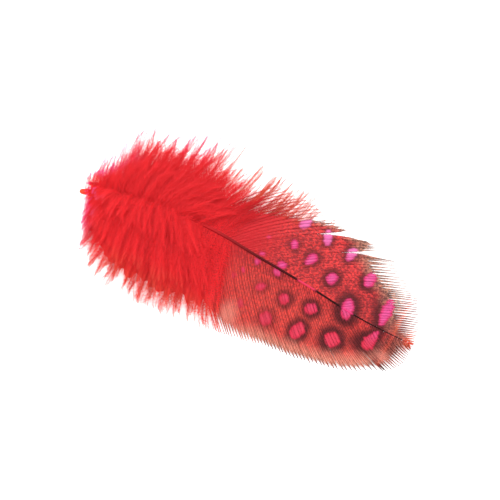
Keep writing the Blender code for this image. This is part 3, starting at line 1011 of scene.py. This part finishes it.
def down_lines(side, layer, rng):
    """Points of the barbs of one layer on one side, in mm, and how far along its barb each one is."""
    last, locks, count, reach, height, bow, past, cling, uneven, stray = layer
    outline = FAR_DOWN if side > 0 else NEAR_DOWN
    inset = 0.0 if reach > INNER else 0.5
    steps = locks - 1 + 2 * inset
    at = (np.arange(count) + rng.uniform(0, 1, count)) / count
    roots = shaft_points(DOWN_FROM + (last - DOWN_FROM) * at)
    roots[:, 1] -= side * past
    lock = np.clip(np.round(at * steps - inset), 0, locks - 1).astype(int)
    lock_at = np.clip((lock + inset) / steps + rng.uniform(-LOCK_STRAY, LOCK_STRAY, locks)[lock], 0, 1)
    own, shared = smooth(outline, at), smooth(outline, lock_at)
    off_middle = np.abs(at * steps - inset - lock) * 2
    length = reach * (1 - uneven * (0.6 * off_middle**1.5 + 0.4 * rng.random(count)))
    length *= 1 + uneven * rng.uniform(*LOCK_LENGTHS, locks)[lock]
    tips = np.column_stack([own + [END_SHIFT, SIDE_SHIFT], np.zeros(count)])
    ends = roots + (tips - roots) * length[:, None]
    ends[:, 2] = height + rng.uniform(*TIP_HEIGHTS, count)
    gap = ends - roots
    span = np.linalg.norm(gap, axis=1)[:, None]
    ends[:, :2] += rng.normal(0, stray, (count, 2)) * span * TIPS_STRAY
    middle = roots + gap * 0.5 + rng.normal(0, stray, (count, 3)) * span * [1, 1, STRAY_UP]
    middle[:, 0] -= DOWN_SWEEP * span[:, 0]
    middle[:, 2] += bow * roots[:, 2]
    w = np.linspace(0, 1, DOWN_STEPS)[None].repeat(count, 0)
    drawn = np.column_stack([shared - own, np.zeros(count)]) * (cling * length)[:, None]
    points = bent(roots, middle, ends, w) + drawn[:, None] * ramp(DRAWN_FROM, 1.0, w)[..., None]
    curl = rng.uniform(-CURL, CURL, (count, 1, 3)) * [1, 1, CURL_UP] * (np.sin(w * 6) * w)[..., None]
    return points + curl, w


print("down barbs on the far side:", sum(layer[2] for layer in LOW_LAYERS[1] + HIGH_LAYERS[1]))

# %% [markdown]
# ## Wisps
# The barbs between the down and the web are half of each. Low down they belong to the far vane, but
# their ends are soft, and curl away from it in thin separate wisps with air between them.

# %% Wisps between down and web
# Where a wisp leaves the shaft as a share, its tip along, across and up in mm, and its number of barbs.
WISPS = (
    (0.290, -13.4, 17.6, 6.0, 2),
    (0.305, -10.4, 17.8, 4.6, 2),
    (0.315, -8.8, 16.0, 2.6, 5),
    (0.330, -5.9, 17.2, 2.8, 8),
    (0.340, -5.0, 12.0, 2.5, 3),
    (0.346, -3.6, 14.8, 2.4, 5),
    (0.356, -2.6, 11.4, 2.3, 3),
    (0.366, -1.5, 17.6, 2.6, 14),
    (0.375, 0.5, 16.4, 2.4, 7),
    (0.376, -0.6, 12.6, 2.2, 3),
    (0.384, 2.4, 15.6, 2.2, 10),
    (0.398, 2.0, 12.4, 2.0, 3),
    (0.406, 4.5, 17.0, 2.4, 10),
    (0.414, 5.9, 15.2, 2.2, 4),
    (0.420, 4.2, 12.4, 2.0, 3),
    (0.430, 7.4, 14.0, 2.2, 4),
    (0.442, 8.4, 15.3, 2.3, 3),
    (0.455, 10.4, 13.6, 2.0, 3),
)
WISP_DROP = 1.5  # mm under the middle of the shaft, where they leave it
WISP_ROOT_STRAY, WISP_TIP_STRAY = 0.012, 0.50  # shares of the length, and mm
WISP_LENGTHS = (0.88, 1.04)
WISP_STRAY = 0.025  # of a barb's span, by which its bend strays
WISP_BEND = (0.90, 0.42, 0.5)  # of the way to the tip along, across and up, where a wisp's bend is


def wisp_lines(rng):
    """Points of the wisps' barbs in mm, and how far along its barb each one is."""
    starts, ends = [], []
    for share, along, across, up, barbs in WISPS:
        starts += list(share + rng.uniform(-WISP_ROOT_STRAY, WISP_ROOT_STRAY, barbs))
        ends += [np.array([along, across, up]) + rng.normal(0, WISP_TIP_STRAY, 3) for _ in range(barbs)]
    roots, ends = shaft_points(starts), np.array(ends)
    roots[:, 2] -= WISP_DROP
    gap = ends - roots
    span = np.linalg.norm(gap, axis=1)[:, None]
    ends = roots + gap * rng.uniform(*WISP_LENGTHS, len(ends))[:, None]
    middle = roots + gap * WISP_BEND + rng.normal(0, WISP_STRAY, gap.shape) * span
    w = np.linspace(0, 1, DOWN_STEPS)[None].repeat(len(ends), 0)
    curl = rng.uniform(-CURL, CURL, (len(ends), 1, 3)) * (np.sin(w * 9) * w**2)[..., None]
    return bent(roots, middle, ends, w) + curl, w


print(sum(wisp[4] for wisp in WISPS), "barbs in", len(WISPS), "wisps")

# %% [markdown]
# ## What each barb of the down carries
# The same tree now grows long barbules, which lie mostly in the plane of the lock, so that the down
# looks smooth. They shorten towards the end of their barb, and there is no blade. Hairs that would pass
# through the table are pressed flat on it, as the weight of the feather does, and the highest and the
# widest are pressed in to the feather's own size.

# %% Sizes of the down
LOW_REACH, HIGH_REACH, WISP_REACH = 1.60, 1.70, 1.00  # mm, of the barbules in each kind of layer
DOWN_RAMUS = 0.034
DOWN_PITCH = 0.082
DOWN_WIDTH, DOWN_THICKNESS = 0.032, 0.022
DOWN_LEAN, LEAN_LOST = 1.15, 0.40  # radians at the shaft, and how much less it is at the tip
FULL_SPAN = 11.0  # mm, shorter barbs have shorter barbules
TABLE_PRESS = 0.5  # mm over the table, below which hairs are pressed flat
WIDEST = (17.8, 19.2)  # mm across, where hairs begin to be pressed in, and what none passes
HIGHEST = (8.4, 9.2)  # and the same for their height


def down_attributes(points, w, most, rng):
    span = np.linalg.norm(points[:, -1] - points[:, 0], axis=1)[:, None]
    full = np.minimum(1, span / FULL_SPAN)
    return {
        "thickness": DOWN_RAMUS * (1 - 0.5 * w) * MM,
        "web": np.zeros(w.shape),
        "reach": most * full * (0.30 + 0.70 * ramp(0, 0.25, w)) * (1 - 0.72 * w**3) * MM,
        "facing": np.zeros(points.shape) + [0, 0, 1],
        "lean": DOWN_LEAN - LEAN_LOST * w**2,
        "along": w,
        "strand": rng.random((len(points), 1)).repeat(DOWN_STEPS, 1),
    }


def eased(values, start, end):
    """The values, but those past start are squeezed so that none passes end."""
    over = (values - start) / (end - start)
    return np.where(over > 0, end - (end - start) * np.exp(-np.maximum(over, 0)), values)


def press_in(places):
    """Squeezes what would pass through the table or out of the feather's own box to within them."""
    x, y, z = places.T
    z = np.where(z < TABLE_PRESS, TABLE_PRESS * np.exp((z - TABLE_PRESS) / TABLE_PRESS), z)
    y = np.sign(y) * eased(np.abs(y), *WIDEST)
    return np.column_stack([x, y, eased(z, *HIGHEST)])


print("down barbules are up to", HIGH_REACH, "mm long")

# %% [markdown]
# ## Growing the down
# Three attributes lead the down's material: dye is least on the pale tips, pink says whether such a tip
# is pink or tan, and shade darkens the far side a little, where it lies in the feather's own shadow.
# Only the tips along the outline are pale, so that the inside stays one soft red.

# %% Pigment and pieces of the down
DOWN_FAR = (-6.0, 4.0)  # mm across, where the far side's colours begin and are full
QUILL_END = (-25.0, -31.5)  # mm along, where the pink of the quill end begins and is full
PINK_PAST = (-8.0, -20.0)  # mm along, where the far tips begin to be pink and are pinkest
OUTLINE = ((9.0, 15.0), (-11.0, -16.0))  # mm across, where the outline begins on each side
PALE_FROM = (0.65, 1.05)  # of a barb, where it begins to be pale and would be palest
LEAST_SHADE = 0.22  # of the far side
DEEP_SHADE = (-9.0, -1.0)  # mm along, where the far side begins to darken more and is darkest


def paint_down(piece):
    mesh = piece.data
    move_to(mesh, press_in(places_of(mesh)))
    places = places_of(mesh)
    along, strand, outward = read(mesh, "along"), read(mesh, "strand"), read(mesh, "outward")
    x, y = read(mesh, "station")[:, :2].T / MM
    far, base = ramp(*DOWN_FAR, y), ramp(*QUILL_END, x)
    pink = np.maximum(base, 0.75 * far * ramp(*PINK_PAST, x))
    outer = np.maximum(base, np.maximum(ramp(*OUTLINE[0], y), ramp(*OUTLINE[1], y)))
    pale = ramp(*PALE_FROM, along) * (0.50 + 0.45 * pink) + 0.12 * outward * ramp(0.6, 1.0, along)
    shadow = far * np.maximum(LEAST_SHADE, ramp(*DEEP_SHADE, x) * (0.7 + 0.3 * strand))
    write(mesh, "dye", 1 - np.clip(pale, 0, 1) * outer)
    write(mesh, "shade", 1 - shadow)
    write(mesh, "pink", pink)
    spread = np.column_stack([along * 0.7 + outward * 0.004, strand * 0.9 + (places[:, 1] % 0.2) * 0.02])
    lay_out(mesh, 0.02 + spread * 0.9)


def make_down(name, lines, most, seed, rng, keratin=down_keratin):
    points = np.concatenate([p for p, _ in lines])
    w = np.concatenate([share for _, share in lines])
    sizes = {
        "Pitch": DOWN_PITCH * MM,
        "Barbule Width": DOWN_WIDTH * MM,
        "Barbule Thickness": DOWN_THICKNESS * MM,
        "Spread": 0.2,
        "Rise": 0.5,
        "Unruly": 0.48,
        "Ramus Sides": 3,
        "Web Step": 1.2 * MM,
        "Seed": seed,
        "Keratin": keratin,
    }
    piece = grow(name, points, down_attributes(points, w, most, rng), sizes)
    paint_down(piece)
    return piece


down = []
for name, side, layers, most, seed in (
    ("down_far_low", 1, LOW_LAYERS, LOW_REACH, 21),
    ("down_far_high", 1, HIGH_LAYERS, HIGH_REACH, 22),
    ("down_near_low", -1, LOW_LAYERS, LOW_REACH, 23),
    ("down_near_high", -1, HIGH_LAYERS, HIGH_REACH, 24),
):
    rng = np.random.default_rng(seed)
    lines = [down_lines(side, layer, rng) for layer in layers[side]]
    down.append(make_down(name, lines, most, seed, rng))
rng = np.random.default_rng(25)
down.append(make_down("wisps_far", [wisp_lines(rng)], WISP_REACH, 25, rng, wisp_keratin))

# %% [markdown]
# ## The matted heart of the down
# Deep in the down the barbules cross so often that the eye can't part them, and they look like one soft
# body. A closed skin well inside the ends of the hairs stands for them. Each of its rings runs from the
# far edge over the shaft to the near edge and back underneath.

# %% Heart mesh
HEART_LAST = 0.375  # share of the length where the heart ends
HEART_REACH = {1: 0.60, -1: 0.73}  # of the way to the down's outline
HEART_EDGE = {1: 1.6, -1: 0.5}  # mm over the table
HEART_BOW = 0.36  # how far it is arched up, as a share of the shaft's height
HEART_RINGS, HEART_STEPS = 60, 18
RAGGED, HEART_SEED = 0.08, 26  # how uneven its edge is, as a share of its reach
HEART_DROP = 0.20  # mm under the shaft
LUMP_HEIGHT = 0.15  # mm, of waves about 3 mm long that cross each other
UNDERSIDE = 0.2  # the underside's height, as a share of the upper side's
LOWEST = 0.05  # mm over the table


def heart_half(side, at):
    """(rings, steps, 3) points in mm from the shaft to the edge of the matted down on one side."""
    outline = smooth(FAR_DOWN if side > 0 else NEAR_DOWN, at)
    roots = shaft_points(DOWN_FROM + (HEART_LAST - DOWN_FROM) * at)
    tips = np.column_stack([outline + [END_SHIFT, SIDE_SHIFT], np.zeros(len(at))])
    ragged = 1 + np.random.default_rng(HEART_SEED + side).uniform(-RAGGED, RAGGED, len(at))
    ends = roots + (tips - roots) * (HEART_REACH[side] * ragged)[:, None]
    ends[:, 2] = HEART_EDGE[side]
    middle = roots + (ends - roots) * 0.5
    middle[:, 0] -= DOWN_SWEEP * np.linalg.norm(ends - roots, axis=1)
    middle[:, 2] += HEART_BOW * roots[:, 2]
    return bent(roots, middle, ends, np.linspace(0, 1, HEART_STEPS)[None].repeat(len(at), 0))


def tube_mesh(name, rings):
    """A closed mesh of (rings, steps, 3) points in mm, with one face at each end."""
    n, k = rings.shape[:2]
    faces = [
        (i * k + j, i * k + (j + 1) % k, (i + 1) * k + (j + 1) % k, (i + 1) * k + j)
        for i in range(n - 1)
        for j in range(k)
    ]
    faces += [tuple(range(k))[::-1], tuple(range((n - 1) * k, n * k))]
    mesh = bpy.data.meshes.new(name)
    mesh.from_pydata((rings.reshape(-1, 3) * MM).tolist(), [], faces)
    mesh.shade_smooth()
    return mesh


def heart_mesh():
    at = np.linspace(0.02, 1, HEART_RINGS)
    over = np.concatenate([heart_half(1, at)[:, ::-1], heart_half(-1, at)[:, 1:]], axis=1)
    lumps = np.sin(over[..., 0] * 2.1 + over[..., 1]) * np.sin(over[..., 1] * 1.7 - over[..., 0] * 0.8)
    over[..., 2] += LUMP_HEIGHT * lumps - HEART_DROP
    under = over[:, ::-1][:, 1:-1] * [1, 1, UNDERSIDE]
    rings = np.concatenate([over, under], axis=1)
    rings[..., 2] = np.maximum(rings[..., 2], LOWEST)
    mesh = tube_mesh("down_heart", rings)
    mesh.flip_normals()  # these rings run the other way round than the shaft's
    return mesh


heart = bpy.data.objects.new("down_heart", heart_mesh())
bpy.context.scene.collection.objects.link(heart)
down.append(heart)
print("heart:", len(heart.data.polygons), "faces")

# %% [markdown]
# ## The material of the heart
# Matted down is the same dyed keratin, but no single hair can be told apart. Fine noise gives it the
# grain of hairs 0.35 mm apart, which is coarser than real down so that it shows, and a bump of less
# than half that height keeps it from looking like a skin. The grain runs from the hairs' own red to a
# darker one, which is painted shade for the depth inside the down.

# %% Matted down
MATTED_GRAIN, MATTED_BUMP = 0.35, 0.15  # mm


def matted_material():
    finish = {"Roughness": 0.9, "IOR": KERATIN_IOR, "Specular IOR Level": 0.0}
    material, surface = new_material("matted_dyed_down", finish)
    tree = material.node_tree
    place = add_node(tree, "ShaderNodeTexCoord", output="Object")
    grain = {"Vector": place, "Scale": 1 / (MATTED_GRAIN * MM), "Detail": 4.0, "Roughness": 0.7}
    hairs = add_node(tree, "ShaderNodeTexNoise", grain)
    step = add_node(tree, "ShaderNodeMapRange", {"Value": hairs, "From Min": 0.3, "From Max": 0.7})
    # painted shade: the darker red of the grain stands for the shade deep inside the down
    matted = mix_layers(tree, {"hairs": step}, (("matted", "hairs", "#DC282E", "#FC3C42"),))
    tree.links.new(matted, surface["Base Color"])
    bump = add_node(tree, "ShaderNodeBump", {"Height": hairs, "Distance": MATTED_BUMP * MM})
    tree.links.new(bump, surface["Normal"])
    return material


heart.data.materials.append(matted_material())
print("grain of the heart:", MATTED_GRAIN, "mm")

# %% [markdown]
# ## The quill and shaft
# The quill is a clear tube of keratin, round and bare, with a blunt end where it sat in the skin. Under
# the down it becomes the rachis: a little squared, grooved below, and thinner and thinner to the tip. It
# is swept ring by ring, because its section changes all the way.

# %% Shaft mesh
# The share of the length and the radius there in mm.
SHAFT_RADIUS = (
    (0.00, 0.30),
    (0.004, 0.48),
    (0.010, 0.56),
    (0.030, 0.60),
    (0.10, 0.58),
    (0.30, 0.44),
    (0.50, 0.29),
    (0.75, 0.19),
    (1.00, 0.06),
)
SHAFT_RINGS, SHAFT_SIDES = 220, 16
QUILL_SHARE, QUILL_RINGS = 0.02, 12  # the round end has rings of its own, closer together
SQUARE_FROM = (0.08, 0.4)  # shares of the length where the shaft turns from round to square
SQUARENESS, GROOVE_DEPTH, GROOVE_WIDTH = 0.10, 0.35, 0.35  # shares of the radius, and radians


def shaft_mesh():
    fine, coarse = np.linspace(0, QUILL_SHARE, QUILL_RINGS), np.linspace(QUILL_SHARE, 1, SHAFT_RINGS)
    shares = np.concatenate([fine[:-1], coarse])
    centres = shaft_points(shares)
    along = np.gradient(centres, axis=0)
    along /= np.linalg.norm(along, axis=1)[:, None]
    across = np.cross(along, [0, 0, 1])
    across /= np.linalg.norm(across, axis=1)[:, None]
    up = np.cross(across, along)
    radius = smooth(SHAFT_RADIUS, shares)
    turn = np.linspace(0, 2 * np.pi, SHAFT_SIDES, endpoint=False)
    square = ramp(*SQUARE_FROM, shares)[:, None]
    form = 1 + square * SQUARENESS * np.cos(4 * turn + np.pi)[None]
    groove = 1 - square * GROOVE_DEPTH * np.exp(-(((turn - 1.5 * np.pi) / GROOVE_WIDTH) ** 2))[None]
    ring = across[:, None] * np.cos(turn)[None, :, None] + up[:, None] * np.sin(turn)[None, :, None]
    return tube_mesh("shaft", centres[:, None] + ring * (radius * form * groove)[..., None])


shaft = bpy.data.objects.new("shaft", shaft_mesh())
bpy.context.scene.collection.objects.link(shaft)
print("shaft:", len(shaft.data.polygons), "faces")

# %% [markdown]
# ## The material of the shaft
# Quill keratin is denser and smoother than a barb's, so it is a little glossier. The dye colours it
# along its length: orange at the clear quill, red under the down, and maroon where it holds melanin. It
# is clear and pink again where it crosses a spot. A colour ramp along X holds these lengths. A new
# ramp has two stops, and the others are added.

# %% Quill keratin
# The share of the length and the colour there.
SHAFT_COLOURS = (
    (0.0, "#B5502E"),
    (0.02, "#D8322C"),
    (0.36, "#B41C22"),
    (0.45, "#7E1418"),
    (0.55, "#4A0E12"),
    (0.66, "#300A0E"),
    (0.668, "#C0304C"),
    (0.712, "#C0304C"),
    (0.72, "#240A0C"),
    (0.792, "#240A0C"),
    (0.799, "#C83468"),
    (0.825, "#C83468"),
    (0.832, "#240A0C"),
    (0.97, "#300C10"),
    (0.98, "#C03028"),
    (1.0, "#C03028"),
)


def shaft_material():
    finish = {"Roughness": 0.45, "IOR": KERATIN_IOR, "Specular IOR Level": 0.05}
    material, surface = new_material("dyed_quill_keratin", finish)
    tree = material.node_tree
    place = add_node(tree, "ShaderNodeTexCoord", output="Object")
    x = add_node(tree, "ShaderNodeSeparateXYZ", (place,), output="X")
    ends = {"Value": x, "From Min": -LENGTH / 2 * MM, "From Max": LENGTH / 2 * MM}
    share = add_node(tree, "ShaderNodeMapRange", ends)
    colour = add_node(tree, "ShaderNodeValToRGB", (share,))
    stops = colour.node.color_ramp.elements
    for i, (at, hex_colour) in enumerate(SHAFT_COLOURS):
        stop = stops[i] if i < 2 else stops.new(at)
        stop.position, stop.color = at, linear(hex_colour)
    tree.links.new(colour, surface["Base Color"])
    return material


shaft.data.materials.append(shaft_material())
print("colours along the shaft:", len(SHAFT_COLOURS))

# %% [markdown]
# ## One body
# Every piece belongs to the one body of the feather and stands for its one solid, which is hidden.

# %% Ride and replace
for piece in (shaft, vane_far, vane_near, *down):
    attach(piece, "root")
    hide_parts("feather")
